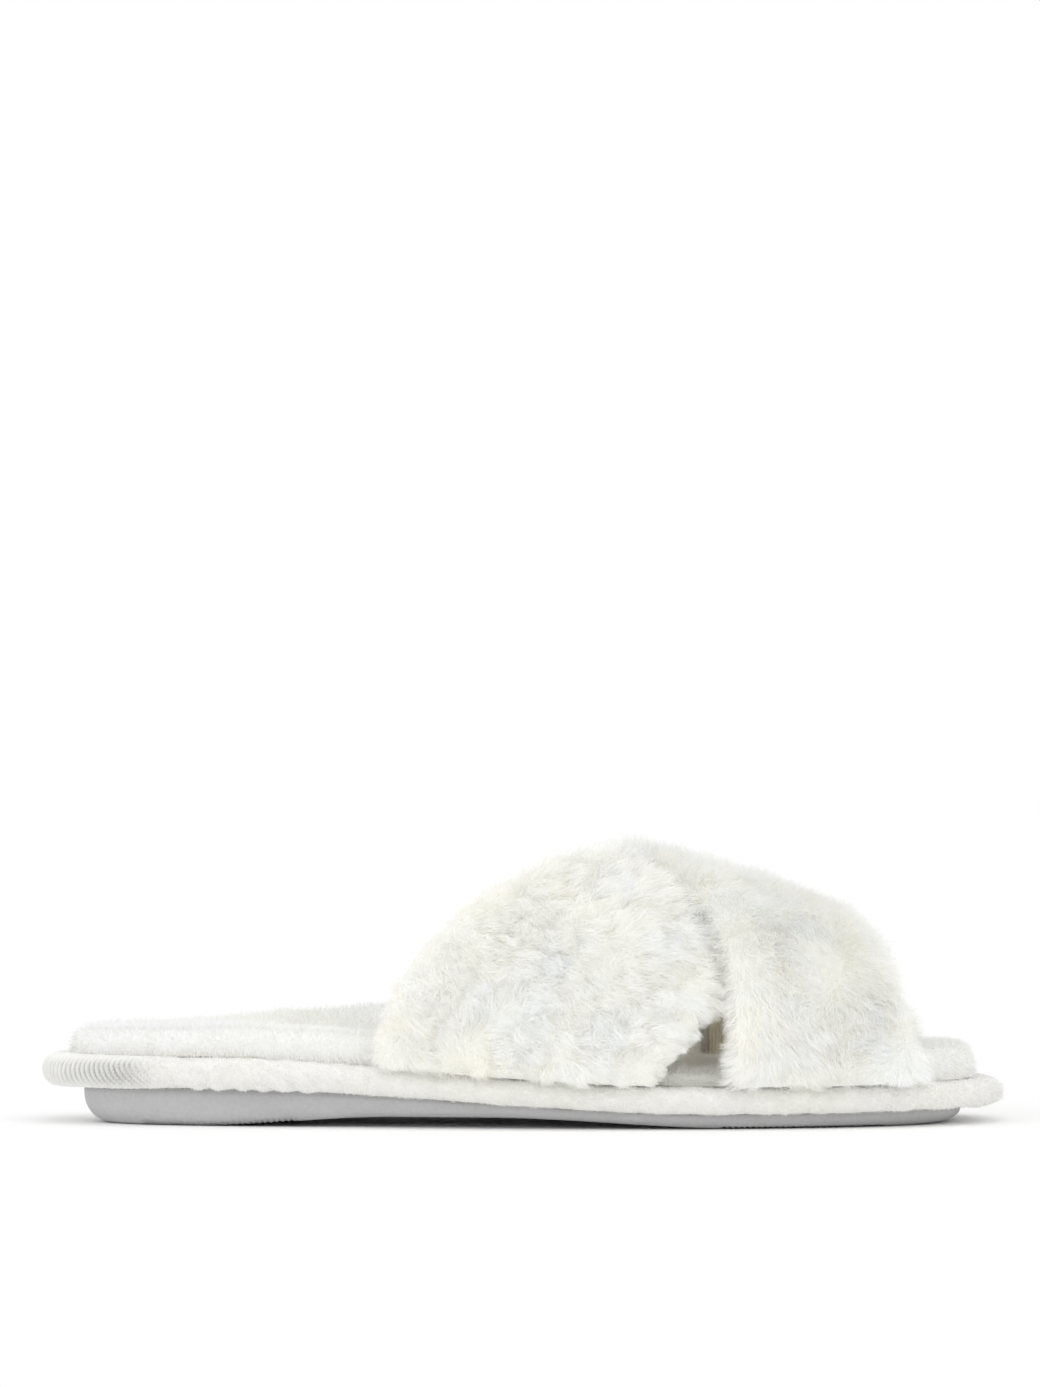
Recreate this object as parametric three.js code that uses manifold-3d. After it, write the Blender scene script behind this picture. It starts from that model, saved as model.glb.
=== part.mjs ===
// A fluffy open-toe house slipper for the right foot, in millimetres.
// X runs from heel to toe, Y towards the big-toe side, and Z up. The origin is on the floor, under the
// middle of the whole slipper.
//
// From the floor up: a moulded outsole, a fibre board and a foam platform wrapped in one fabric cover (the
// rim), a shaped foam pad, and a plush sock. Two padded fur straps rise from the seam between the sock and
// the rim and cross over the foot, the over strap lying on the under strap.
import * as THREE from "three";
import { mergeVertices } from "three/addons/utils/BufferGeometryUtils.js";
import Module from "manifold-3d";

const { clamp, lerp, smoothstep } = THREE.MathUtils;

// Plan of the rim
const LENGTH = 265;
const HALF_LENGTH = LENGTH / 2;
const HEEL_HALF_WIDTH = 37.5;
const BALL_HALF_WIDTH = 49;
const OUTLINE_POWER = 2.8; // 2 is an ellipse, and a higher power is blunter at heel and toe
const WIDENING = { from: -60, to: 60 };
const WAIST = { x: -20, spread: 45, shift: -2.5 };
const TOE_SWING = { from: 30, to: 130, shift: 4 };

// Heights of the sole
const RIM_BOTTOM = { heel: 10.5, ball: 4.2, from: -85, to: 55 };
const TOE_LIFT = { from: 75, to: 125, height: 0.7 };
const RIM_THICKNESS = { heel: 8.1, ball: 7, from: -85, to: 0 };
const ARCH_UNDER_WAIST = { height: 2.9, riseFrom: -90, riseTo: -35, fallFrom: -10, fallTo: 62 };
const GAP = 0.3; // between neighbouring pieces

// Outsole
const OUTSOLE_INSET = { side: 5.5, end: 11 };
const OUTSOLE_CORNER = { side: 3.5, end: 7.5 };
const CORNER_STEPS = [0, 30, 60, 90]; // degrees round the lower corner
const POCKET = { length: 11, width: 14, floor: 4, rib: 3, firstX: -102, columns: 3, rows: 2 };
const TREAD = { width: 1.6, depth: 1, pitch: 4.5 };
const TREAD_BLOCKS = [
  { firstX: -105, grooves: 6, halfLength: 18 },
  { firstX: 58, grooves: 9, halfLength: 30 },
];

// Fabric cover wrapped round the platform
const COVER = { thickness: 1.2, topEdge: 9, bottomEdge: 20, round: 3.9 };
const BOARD_THICKNESS = 1.2;

// Footbed
const SOCK_HEIGHT = 10.2; // from the top of the rim
const SOCK_TOE_LIFT = { from: 85, to: 125, height: 2 };
const SOCK_THICKNESS = 7.6;
const SOCK_INSET = { side: 7.9, end: 7.4 };
const SOCK_EDGE_DIP = 1.4;
const DISH_DEPTH = 1.6;
const ARCH_COOKIE = { height: 8.5, riseFrom: -95, riseTo: -15, fallFrom: -15, fallTo: 45, yFrom: -8, yTo: 26 };
const FOAM_INSET = 11.6;
const SEAM_THREAD = { inset: 8, size: 0.8 };

// Hollow that the straps arch over
const STRAP_INSET = 7.2;
const ARCH_POWER = 2.3;
const INSTEP = { height: 66, slope: 0.34, bendX: 14, bend: 12 };
const STRAP_SEAT = 0.4; // above the top of the rim

// Layers of a strap, measured outwards from its inner face
const LINING = { low: 0, high: 1 };
const WADDING = { low: 1.3, high: 3.5 };
const FUR = { low: 3.8, high: 12, edge: 1.2, pressed: 7.2, round: 9 };
const FUR_OVERHANG = 6; // beyond the lining's edge
const EDGE_THREAD = { low: 1.7, high: 2.6, width: 0.9, clear: 0.4 };
const STRAP_LIFT = 7.8; // of the over strap, where it lies on the under strap
const LIFT_RUN = { from: -32, to: -5 }; // millimetres inside the under strap's footprint
const PRESS_RUN = { from: -16, to: -3 }; // millimetres inside the over strap's footprint

// Edges of the fur, from the outer (little-toe) end at 0 to the inner end at 1
const UNDER_STRAP = {
  rear: { start: -40, end: 47, lead: 1.8, trail: 3 },
  front: { start: 36, end: 109, lead: 1, trail: 1.83 },
};
const OVER_STRAP = {
  rear: { start: 54, end: -40, lead: 2.4, trail: 1.6 },
  front: { start: 109, end: 43, lead: 1.83, trail: 1 },
};

// Fineness of the meshes
const STATIONS = 30;
const ACROSS = 4;
const STRAP_ROWS = 28;
const EDGE_COLUMNS = 2;
const LAYER_COLUMNS = 7;

const wasm = await Module();
wasm.setup();

// A power that keeps the sign of its base.
function signedPower(value, power) {
  return Math.sign(value) * Math.abs(value) ** power;
}

// ---- Shape of the rim and the sole ----

function halfWidth(x) {
  return lerp(HEEL_HALF_WIDTH, BALL_HALF_WIDTH, smoothstep(x, WIDENING.from, WIDENING.to));
}

function middleLine(x) {
  const waist = WAIST.shift * Math.exp(-(((x - WAIST.x) / WAIST.spread) ** 2));
  return waist + TOE_SWING.shift * smoothstep(x, TOE_SWING.from, TOE_SWING.to);
}

function rimBottom(x) {
  const fall = (RIM_BOTTOM.heel - RIM_BOTTOM.ball) * smoothstep(x, RIM_BOTTOM.from, RIM_BOTTOM.to);
  return RIM_BOTTOM.heel - fall + TOE_LIFT.height * smoothstep(x, TOE_LIFT.from, TOE_LIFT.to);
}

function rimThickness(x) {
  return lerp(RIM_THICKNESS.heel, RIM_THICKNESS.ball, smoothstep(x, RIM_THICKNESS.from, RIM_THICKNESS.to));
}

function rimTop(x) {
  return rimBottom(x) + rimThickness(x);
}

function treadHeight(x) {
  const rise = smoothstep(x, ARCH_UNDER_WAIST.riseFrom, ARCH_UNDER_WAIST.riseTo);
  const fall = smoothstep(x, ARCH_UNDER_WAIST.fallFrom, ARCH_UNDER_WAIST.fallTo);
  return ARCH_UNDER_WAIST.height * rise * (1 - fall);
}

// The footbed's upper surface: dished across, and raised under the arch of the foot.
function sockTop(x, y) {
  const across = (y - middleLine(x)) / halfWidth(x);
  const rise = smoothstep(x, ARCH_COOKIE.riseFrom, ARCH_COOKIE.riseTo);
  const fall = smoothstep(x, ARCH_COOKIE.fallFrom, ARCH_COOKIE.fallTo);
  const arch = ARCH_COOKIE.height * rise * (1 - fall) * smoothstep(y, ARCH_COOKIE.yFrom, ARCH_COOKIE.yTo);
  const toe = SOCK_TOE_LIFT.height * smoothstep(x, SOCK_TOE_LIFT.from, SOCK_TOE_LIFT.to);
  return rimTop(x) + SOCK_HEIGHT + toe + arch - DISH_DEPTH * (1 - across ** 2);
}

function foamTop(x, y) {
  return sockTop(x, y) - SOCK_THICKNESS;
}

// A closed row of points round the slipper: the rim's outline drawn in by `side` and `end`, from the heel
// along the outer side to the toe and back along the inner side. `zAt` gives each point its height.
function ring(side, end, zAt) {
  const points = [];
  const reach = HALF_LENGTH - end;
  for (let k = 0; k < 2 * STATIONS; k++) {
    const angle = (Math.PI * k) / STATIONS;
    const x = -reach * signedPower(Math.cos(angle), 2 / OUTLINE_POWER);
    const out = (halfWidth(x) - side) * signedPower(Math.sin(angle), 2 / OUTLINE_POWER);
    const y = middleLine(x) - out;
    points.push(new THREE.Vector3(x, y, zAt(x, y)));
  }
  return { points, zAt };
}

// ---- Mesh building ----

class Surface {
  constructor() {
    this.positions = [];
    this.indices = [];
  }

  add(point) {
    this.positions.push(point.x, point.y, point.z);
    return this.positions.length / 3 - 1;
  }

  triangle(a, b, c) {
    if (a !== b && b !== c && c !== a) this.indices.push(a, b, c);
  }

  quad(a, b, c, d) {
    this.triangle(a, b, c);
    this.triangle(a, c, d);
  }

  // Joins two closed rows of the same length.
  band(lower, upper) {
    lower.forEach((index, k) => {
      const next = (k + 1) % lower.length;
      this.quad(index, lower[next], upper[next], upper[k]);
    });
  }

  // Fills a ring from side to side, facing up or down.
  cap(row, { points, zAt }, up) {
    const lines = [];
    for (let i = 0; i <= STATIONS; i++) {
      const other = (2 * STATIONS - i) % (2 * STATIONS);
      const line = [row[i]];
      for (let j = 1; j <= ACROSS; j++) {
        const point = points[i].clone().lerp(points[other], j / ACROSS);
        point.z = zAt(point.x, point.y);
        const end = j === ACROSS || i === other ? row[other] : this.add(point);
        line.push(end);
      }
      lines.push(line);
    }
    lines.slice(1).forEach((line, i) => {
      for (let j = 0; j < ACROSS; j++) {
        const corners = [lines[i][j], line[j], line[j + 1], lines[i][j + 1]];
        this.quad(...(up ? corners : corners.reverse()));
      }
    });
  }

  geometry() {
    const geometry = new THREE.BufferGeometry();
    geometry.setAttribute("position", new THREE.Float32BufferAttribute(this.positions, 3));
    geometry.setIndex(this.indices);
    geometry.computeVertexNormals();
    return geometry;
  }
}

// A plate made of rings from its underside to its top, with both ends filled.
function plate(rings) {
  const surface = new Surface();
  const rows = rings.map(({ points }) => points.map((point) => surface.add(point)));
  rows.slice(1).forEach((row, i) => surface.band(rows[i], row));
  surface.cap(rows[0], rings[0], false);
  surface.cap(rows[rows.length - 1], rings[rings.length - 1], true);
  return surface.geometry();
}

// A hoop whose section is the closed loop of rings: out along the bottom, up, and back along the top.
function hoop(rings) {
  const surface = new Surface();
  const rows = rings.map(({ points }) => points.map((point) => surface.add(point)));
  rows.forEach((row, i) => surface.band(row, rows[(i + 1) % rows.length]));
  return surface.geometry();
}

// A sheet with thickness: pointAt(i, j, side) gives its upper (side 1) and lower (side 0) points.
function slab(rows, columns, pointAt) {
  const surface = new Surface();
  const grids = [0, 1].map((side) => {
    const grid = [];
    for (let i = 0; i <= rows; i++) {
      const line = [];
      for (let j = 0; j <= columns; j++) line.push(surface.add(pointAt(i / rows, j / columns, side)));
      grid.push(line);
    }
    return grid;
  });
  const [low, high] = grids;
  for (let i = 0; i < rows; i++) {
    for (let j = 0; j < columns; j++) {
      surface.quad(high[i][j], high[i][j + 1], high[i + 1][j + 1], high[i + 1][j]);
      surface.quad(low[i][j], low[i + 1][j], low[i + 1][j + 1], low[i][j + 1]);
    }
    surface.quad(low[i][0], high[i][0], high[i + 1][0], low[i + 1][0]);
    surface.quad(low[i][columns], low[i + 1][columns], high[i + 1][columns], high[i][columns]);
  }
  for (let j = 0; j < columns; j++) {
    surface.quad(low[0][j], low[0][j + 1], high[0][j + 1], high[0][j]);
    surface.quad(low[rows][j], high[rows][j], high[rows][j + 1], low[rows][j + 1]);
  }
  return surface.geometry();
}

// ---- Solid cutting ----

function toSolid(geometry) {
  const bare = geometry.clone();
  bare.deleteAttribute("normal");
  bare.deleteAttribute("uv");
  const merged = mergeVertices(bare);
  const vertProperties = merged.attributes.position.array;
  const triVerts = new Uint32Array(merged.index.array);
  return new wasm.Manifold(new wasm.Mesh({ numProp: 3, vertProperties, triVerts }));
}

function toGeometry(solid) {
  const mesh = solid.getMesh();
  const geometry = new THREE.BufferGeometry();
  geometry.setAttribute("position", new THREE.BufferAttribute(mesh.vertProperties, 3));
  geometry.setIndex(new THREE.BufferAttribute(mesh.triVerts, 1));
  geometry.computeVertexNormals();
  return geometry;
}

function boxSolid(length, width, bottom, top, x, y) {
  const box = new THREE.BoxGeometry(length, width, top - bottom);
  return toSolid(box.translate(x, y, (bottom + top) / 2));
}

// ---- Sole pieces ----

// The outsole's side: a rounded lower corner, then a nearly upright wall.
function outsoleRing(degrees) {
  const angle = THREE.MathUtils.degToRad(degrees);
  const inward = 1 - Math.sin(angle);
  const upward = 1 - Math.cos(angle);
  const side = OUTSOLE_INSET.side + OUTSOLE_CORNER.side * inward;
  const end = OUTSOLE_INSET.end + OUTSOLE_CORNER.end * inward;
  const cornerShare = 0.8; // of the outsole's height
  return ring(side, end, (x) => lerp(treadHeight(x), rimBottom(x) - GAP, cornerShare * upward));
}

function makeOutsole() {
  const top = ring(OUTSOLE_INSET.side, OUTSOLE_INSET.end, (x) => rimBottom(x) - GAP);
  let solid = toSolid(plate([...CORNER_STEPS.map(outsoleRing), top]));
  for (let column = 0; column < POCKET.columns; column++) {
    for (let row = 0; row < POCKET.rows; row++) {
      const x = POCKET.firstX + column * (POCKET.length + POCKET.rib);
      const y = middleLine(x) + (row - (POCKET.rows - 1) / 2) * (POCKET.width + POCKET.rib);
      solid = solid.subtract(boxSolid(POCKET.length, POCKET.width, POCKET.floor, RIM_BOTTOM.heel + 1, x, y));
    }
  }
  for (const block of TREAD_BLOCKS) {
    for (let groove = 0; groove < block.grooves; groove++) {
      const x = block.firstX + groove * TREAD.pitch;
      const cut = boxSolid(TREAD.width, 2 * block.halfLength, -TREAD.depth, TREAD.depth, x, middleLine(x));
      solid = solid.subtract(cut);
    }
  }
  return toGeometry(solid);
}

// The cover's section round the rim's edge, `depth` under its outer face.
function rimEdge(depth, degreesList) {
  return degreesList.map((degrees) => {
    const angle = THREE.MathUtils.degToRad(degrees);
    const inset = COVER.round - (COVER.round - depth) * Math.cos(angle);
    const height = (x) => rimBottom(x) + rimThickness(x) / 2 + (rimThickness(x) / 2 - depth) * Math.sin(angle);
    return ring(inset, inset, height);
  });
}

function makeRimCover() {
  const { bottomEdge, topEdge, thickness } = COVER;
  const level = (inset, zAt) => ring(inset, inset, zAt);
  return hoop([
    level(bottomEdge, rimBottom),
    ...rimEdge(0, [-90, -45, 0, 45, 90]),
    level(topEdge, rimTop),
    level(topEdge, (x) => rimTop(x) - thickness),
    ...rimEdge(thickness, [90, 0, -90]),
    level(bottomEdge, (x) => rimBottom(x) + thickness),
  ]);
}

function makePlatform() {
  return plate(rimEdge(COVER.thickness + GAP, [-90, 0, 90]));
}

function makeBoard() {
  const inset = COVER.bottomEdge + GAP;
  return plate([
    ring(inset, inset, rimBottom),
    ring(inset, inset, (x) => rimBottom(x) + BOARD_THICKNESS),
  ]);
}

function makeFoamPad() {
  return plate([
    ring(FOAM_INSET, FOAM_INSET, (x) => rimTop(x) - COVER.thickness),
    ring(FOAM_INSET, FOAM_INSET, (x) => rimTop(x) + GAP),
    ring(FOAM_INSET + 2, FOAM_INSET + 2, foamTop),
  ]);
}

function makeSock() {
  const level = (inward, zAt) => ring(SOCK_INSET.side + inward, SOCK_INSET.end + inward, zAt);
  const between = (share) => (x, y) => lerp(rimTop(x), sockTop(x, y), share);
  return plate([
    ring(FOAM_INSET + 2 * GAP, FOAM_INSET + 2 * GAP, (x, y) => foamTop(x, y) + 2 * GAP),
    level(1.6, (x) => rimTop(x) + SOCK_EDGE_DIP),
    level(0, between(0.4)),
    level(1.2, between(0.78)),
    level(4.6, sockTop),
  ]);
}

function makeSockSeam() {
  const { inset, size } = SEAM_THREAD;
  const low = (x) => rimTop(x) + GAP;
  const high = (x) => rimTop(x) + GAP + size;
  return hoop([
    ring(inset + size, inset + size, low),
    ring(inset, inset, low),
    ring(inset, inset, high),
    ring(inset + size, inset + size, high),
  ]);
}

// ---- Strap pieces ----

function instepHeight(x) {
  const run = INSTEP.bend * Math.log1p(Math.exp((x - INSTEP.bendX) / INSTEP.bend));
  return INSTEP.height - INSTEP.slope * run;
}

// A point on the inner face of the straps, at x and at a share t of the way over the foot.
function archPoint(x, t) {
  const reach = HALF_LENGTH - STRAP_INSET;
  const taper = (1 - Math.abs(x / reach) ** OUTLINE_POWER) ** (1 / OUTLINE_POWER);
  const reachAcross = (halfWidth(x) - STRAP_INSET) * taper;
  const seat = rimTop(x) + STRAP_SEAT;
  const y = middleLine(x) - reachAcross * signedPower(Math.cos(Math.PI * t), 2 / ARCH_POWER);
  const z = seat + (instepHeight(x) - seat) * signedPower(Math.sin(Math.PI * t), 2 / ARCH_POWER);
  return new THREE.Vector3(x, y, z);
}

// The same point moved outwards, square to the face.
function strapPoint(x, t, outwards) {
  const stepX = 0.5;
  const stepT = 0.002;
  const alongX = archPoint(x + stepX, t).sub(archPoint(x - stepX, t));
  const alongT = archPoint(x, t + stepT).sub(archPoint(x, t - stepT));
  return archPoint(x, t).addScaledVector(alongX.cross(alongT).normalize(), outwards);
}

function edgeX({ start, end, lead, trail }, t) {
  return lerp(start, end, 1 - (1 - t ** lead) ** trail);
}

// How far a point lies inside a strap's footprint, along X.
function depthInside(strap, x, t) {
  return Math.min(x - edgeX(strap.rear, t), edgeX(strap.front, t) - x);
}

function strapLift(strap, x, t) {
  if (strap === UNDER_STRAP) return 0;
  return STRAP_LIFT * smoothstep(depthInside(UNDER_STRAP, x, t), LIFT_RUN.from, LIFT_RUN.to);
}

function furTop(strap, x, t) {
  if (strap === OVER_STRAP) return FUR.high;
  const pressing = smoothstep(depthInside(OVER_STRAP, x, t), PRESS_RUN.from, PRESS_RUN.to);
  return lerp(FUR.high, FUR.pressed, pressing);
}

// X of a layer's column, 0 at its rear edge and 1 at its front edge.
function layerX(strap, t, column) {
  return lerp(edgeX(strap.rear, t) + FUR_OVERHANG, edgeX(strap.front, t) - FUR_OVERHANG, column);
}

function makeStrapLayer(strap, { low, high }) {
  return slab(STRAP_ROWS, LAYER_COLUMNS, (t, column, side) => {
    const x = layerX(strap, t, column);
    return strapPoint(x, t, strapLift(strap, x, t) + lerp(low, high, side));
  });
}

// The fur keeps the columns of the layers under it, and rounds off beyond them in EDGE_COLUMNS more.
function makeFur(strap) {
  const columns = LAYER_COLUMNS + 2 * EDGE_COLUMNS;
  return slab(STRAP_ROWS, columns, (t, share, side) => {
    const column = Math.round(share * columns) - EDGE_COLUMNS;
    const beyond = (Math.max(0, -column, column - LAYER_COLUMNS) / EDGE_COLUMNS) * FUR_OVERHANG;
    const onLayer = clamp(column / LAYER_COLUMNS, 0, 1);
    const x = layerX(strap, t, onLayer) + Math.sign(column) * beyond;
    const fromEdge = clamp(depthInside(strap, x, t) / FUR.round, 0, 1);
    const crown = Math.sqrt(1 - (1 - fromEdge) ** 2);
    const thickness = lerp(FUR.edge, furTop(strap, x, t) - FUR.low, crown);
    return strapPoint(x, t, strapLift(strap, x, t) + FUR.low + side * thickness);
  });
}

// The thread that closes a strap along its rear (-1) or front (1) edge.
function makeEdgeThread(strap, direction) {
  const edge = direction < 0 ? strap.rear : strap.front;
  const { low, high, width, clear } = EDGE_THREAD;
  return slab(STRAP_ROWS, 1, (t, column, side) => {
    const outside = clear + (direction < 0 ? 1 - column : column) * width;
    const x = edgeX(edge, t) - direction * (FUR_OVERHANG - outside);
    return strapPoint(x, t, strapLift(strap, x, t) + lerp(low, high, side));
  });
}

// ---- Assembly ----

const FINISHES = {
  rubber: { color: 0xbababb, roughness: 0.55, metalness: 0 },
  board: { color: 0xb8a27c, roughness: 0.9, metalness: 0 },
  foam: { color: 0xefe9da, roughness: 0.95, metalness: 0 },
  cover: { color: 0xeaeae8, roughness: 0.95, metalness: 0 },
  plush: { color: 0xebebe7, roughness: 1, metalness: 0 },
  fur: { color: 0xecebe5, roughness: 1, metalness: 0 },
  wadding: { color: 0xf4f3ee, roughness: 1, metalness: 0 },
  lining: { color: 0xe4dcc6, roughness: 0.9, metalness: 0 },
  thread: { color: 0xe9e7df, roughness: 0.8, metalness: 0 },
};

const slipper = new THREE.Group();

function addPiece(name, geometry, finish) {
  const piece = new THREE.Mesh(geometry, new THREE.MeshStandardMaterial(FINISHES[finish]));
  piece.name = name;
  slipper.add(piece);
}

addPiece("outsole", makeOutsole(), "rubber");
addPiece("insole_board", makeBoard(), "board");
addPiece("platform", makePlatform(), "foam");
addPiece("rim_cover", makeRimCover(), "cover");
addPiece("foam_pad", makeFoamPad(), "foam");
addPiece("plush_sock", makeSock(), "plush");
addPiece("sock_seam", makeSockSeam(), "thread");

for (const [name, strap] of [["under_strap", UNDER_STRAP], ["over_strap", OVER_STRAP]]) {
  addPiece(`${name}_lining`, makeStrapLayer(strap, LINING), "lining");
  addPiece(`${name}_wadding`, makeStrapLayer(strap, WADDING), "wadding");
  addPiece(`${name}_fur`, makeFur(strap), "fur");
  addPiece(`${name}_rear_seam`, makeEdgeThread(strap, -1), "thread");
  addPiece(`${name}_front_seam`, makeEdgeThread(strap, 1), "thread");
}

// Stand the slipper on the floor, with the origin under the middle of its box.
const box = new THREE.Box3().setFromObject(slipper);
slipper.position.set(-(box.min.x + box.max.x) / 2, -(box.min.y + box.max.y) / 2, -box.min.z);

export default slipper;
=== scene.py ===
"""The looks of a fluffy open-toe house slipper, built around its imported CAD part.

Lengths are in millimetres until a mesh is made, in the CAD part's own frame: X from heel to
toe, Y towards the big-toe side, Z up. The sole, the sock and the straps follow the CAD part's
formulas with finer meshes. The sock is also pressed down under the straps, and the faces that
the plush and the straps' fur grow on lie deeper than the CAD's, so that their fibres end near
it. A run is the pair of places between which a measure goes from 0 to 1.
"""

import math

import bmesh
import bpy
import numpy as np
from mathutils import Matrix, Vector


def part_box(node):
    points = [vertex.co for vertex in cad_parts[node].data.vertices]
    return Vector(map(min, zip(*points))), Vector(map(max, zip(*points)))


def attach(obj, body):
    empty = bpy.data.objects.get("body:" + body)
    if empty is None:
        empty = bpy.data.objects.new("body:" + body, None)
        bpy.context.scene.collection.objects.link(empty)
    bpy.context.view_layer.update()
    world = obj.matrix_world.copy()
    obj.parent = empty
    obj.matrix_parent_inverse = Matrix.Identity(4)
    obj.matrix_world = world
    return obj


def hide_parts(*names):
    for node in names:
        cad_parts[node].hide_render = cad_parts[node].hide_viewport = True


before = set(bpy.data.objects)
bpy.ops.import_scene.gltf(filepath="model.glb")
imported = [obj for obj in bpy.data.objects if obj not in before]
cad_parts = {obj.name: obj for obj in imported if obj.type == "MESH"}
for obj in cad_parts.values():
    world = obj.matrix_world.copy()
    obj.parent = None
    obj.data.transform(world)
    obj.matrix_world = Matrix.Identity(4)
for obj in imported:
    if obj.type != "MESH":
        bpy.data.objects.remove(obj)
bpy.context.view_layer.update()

MM = 0.001

# Plan of the rim
HALF_LENGTH = 132.5
HEEL_HALF_WIDTH = 37.5
BALL_HALF_WIDTH = 49.0
WIDENING_RUN = (-60, 60)
WAIST = {"x": -20, "spread": 45, "shift": -2.5}
TOE_SWING = 4
TOE_SWING_RUN = (30, 130)
OUTLINE_POWER = 2.8
STATIONS = 300

# Heights of the sole
RIM_BOTTOM_HEEL = 10.5
RIM_BOTTOM_BALL = 4.2
RIM_FALL_RUN = (-85, 55)
TOE_LIFT = 0.7
TOE_LIFT_RUN = (75, 125)
RIM_THICKNESS = {"heel": 8.1, "ball": 7.0, "run": (-85, 0)}
WAIST_ARCH = {"height": 2.9, "rise": (-90, -35), "fall": (-10, 62)}
GAP = 0.3

# Outsole
OUTSOLE_SIDE = 5.5
OUTSOLE_END = 11.0
CORNER_SIDE = 3.5
CORNER_END = 7.5
CORNER_SHARE = 0.8
RIB_PITCH = 1.6
RIB_DEPTH = 0.9
RIB_FADE = 0.8
RIB_BLOCKS = [(-104.0, -62.0), (54.0, 98.0)]
POCKET = {"length": 11.0, "width": 14.0, "floor": 4.0, "rib": 3.0, "first_x": -102.0, "columns": 3}

# Fabric cover of the rim
COVER_THICKNESS = 1.2
COVER_ROUND = 3.9
COVER_TOP_EDGE = 9.0
COVER_BOTTOM_EDGE = 20.0
GATHER_PITCH = 1.9
GATHER_DEPTH = 0.6
GATHER_FADE_RUN = (36, 54)
GATHER_SLANT = 0.9
GATHER_SLANT_RUN = (14, 46)
FLEECE_START_RUN = (34, 52)
HEM = {"rise": (50, 64), "fall": (84, 100), "depth": 0.35, "wave": 0.4, "pitch": 6.3}

# Footbed
SOCK_HEIGHT = 10.2
SOCK_TOE_LIFT = 2
SOCK_TOE_RUN = (85, 125)
DISH_DEPTH = 1.6
ARCH_COOKIE = {"height": 8.5, "rise": (-95, -15), "fall": (-15, 45)}
ARCH_COOKIE_RUN = (-8, 26)
SOCK_THICKNESS = 7.6
FOAM_INSET = 11.6
SOCK_INSET = 12.5
SOCK_BULGE = 4.6
SOCK_ACROSS = 40
SOCK_PILE = 1.6
SOCK_PRESSED = {"height": 3.6, "rise": (-12, 26), "fall": (60, 94)}

# Short pile of the cover and the sock: fibres per square millimetre, their length, width and
# curl, and the spacing of their tufts
FLEECE_PILE = {"density": 4.6, "length": 1.75, "width": 0.2, "curl": 0.3, "tuft": 1.9}
PLUSH_PILE = {"density": 4.6, "length": 2.5, "width": 0.17, "curl": 0.1, "tuft": 2.6}

# Straps
STRAP_INSET = 7.2
ARCH_POWER = 2.3
INSTEP = {"height": 66, "slope": 0.34, "bend_x": 14, "bend": 12}
STRAP_SEAT = 0.4
STRAP_ARC = 180
STRAP_ROWS = 150
LINING = (0.0, 1.0)
WADDING = (1.3, 3.5)
FUR_BACKING = 3.6
FUR_UNDER = 1.0
FUR_SIDE = 4.6
FUR_PRESSED = 7.2
FUR_ROUND = 9.0
FUR_TUCK = 2.0
FUR_OVERHANG = 6.0
FUR_END_ROUND = 8.0
FUR_ARC = 190
FUR_SWELL = 2.2
FUR_SWELL_RUN = (-50, -14)
PILE_DEPTH = 4.0
PILE_LENGTH = 6.9
PILE_WIDTH = 0.12
PILE_DENSITY = 9.5
PILE_CURL = 0.35
STRAP_LIFT = 7.0
STRAP_LIFT_RUN = (-32, -5)
STRAP_PRESS_RUN = (-5, 2)

# The two straps. rear and front hold an edge's x at the outer and at the inner foot, and the two
# powers that bend it between them. comb is the way the fur lies, along x and over the foot. edge
# is how far in the fur starts, stray how far single fibres turn away, top the height of the tips,
# tuft the spacing of the tufts, clump how tightly they gather, ruffle how uneven they are, and
# warmth their middle tint.
UNDER = {
    "name": "under_strap",
    "rear": (-40.0, 47.0, 1.8, 3.0),
    "front": (36.0, 109.0, 1.0, 1.83),
    "comb": (0.62, -0.36),
    "edge": 1.6,
    "stray": 0.3,
    "top": 13.2,
    "tuft": 4.4,
    "clump": 0.5,
    "ruffle": 0.45,
    "warmth": 0.6,
}
OVER = {
    "name": "over_strap",
    "rear": (54.0, -40.0, 2.4, 1.6),
    "front": (109.0, 43.0, 1.83, 1.0),
    "comb": (0.12, -0.84),
    "edge": 3.0,
    "stray": 0.2,
    "top": 11.6,
    "tuft": 3.6,
    "clump": 0.2,
    "ruffle": 0.14,
    "warmth": 0.5,
}

# Thread
YARN_STEP = 0.45
YARN_SIDES = 6

# Light of the surroundings, and how bright the camera sees them
WORLD_LIGHT = 0.8
WORLD_SEEN = 1.0
LIGHT_BOUNCES = 16
DIFFUSE_BOUNCES = 14

# Studio light: name, energy, spread in degrees, and where it comes from
SOFTBOXES = [
    ("key_softbox", 0.75, 70, (0.25, -0.6, 0.78)),
    ("fill_softbox", 0.45, 50, (-0.8, -0.45, 0.4)),
]


# ---- Numbers ----


def lerp(low, high, share):
    return low + (high - low) * share


def smoothstep(value, low, high):
    """0 at low, 1 at high and smooth between them. With low above high, it falls as value grows."""
    share = np.clip((value - low) / (high - low), 0.0, 1.0)
    return share * share * (3.0 - 2.0 * share)


def signed_power(value, power):
    return np.sign(value) * np.abs(value) ** power


def unit(vectors):
    return vectors / np.maximum(np.linalg.norm(vectors, axis=-1, keepdims=True), 1e-9)


def plateau(x, height, rise, fall):
    """The height between the two runs, and 0 beyond them."""
    return height * smoothstep(x, *rise) * (1 - smoothstep(x, *fall))


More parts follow.
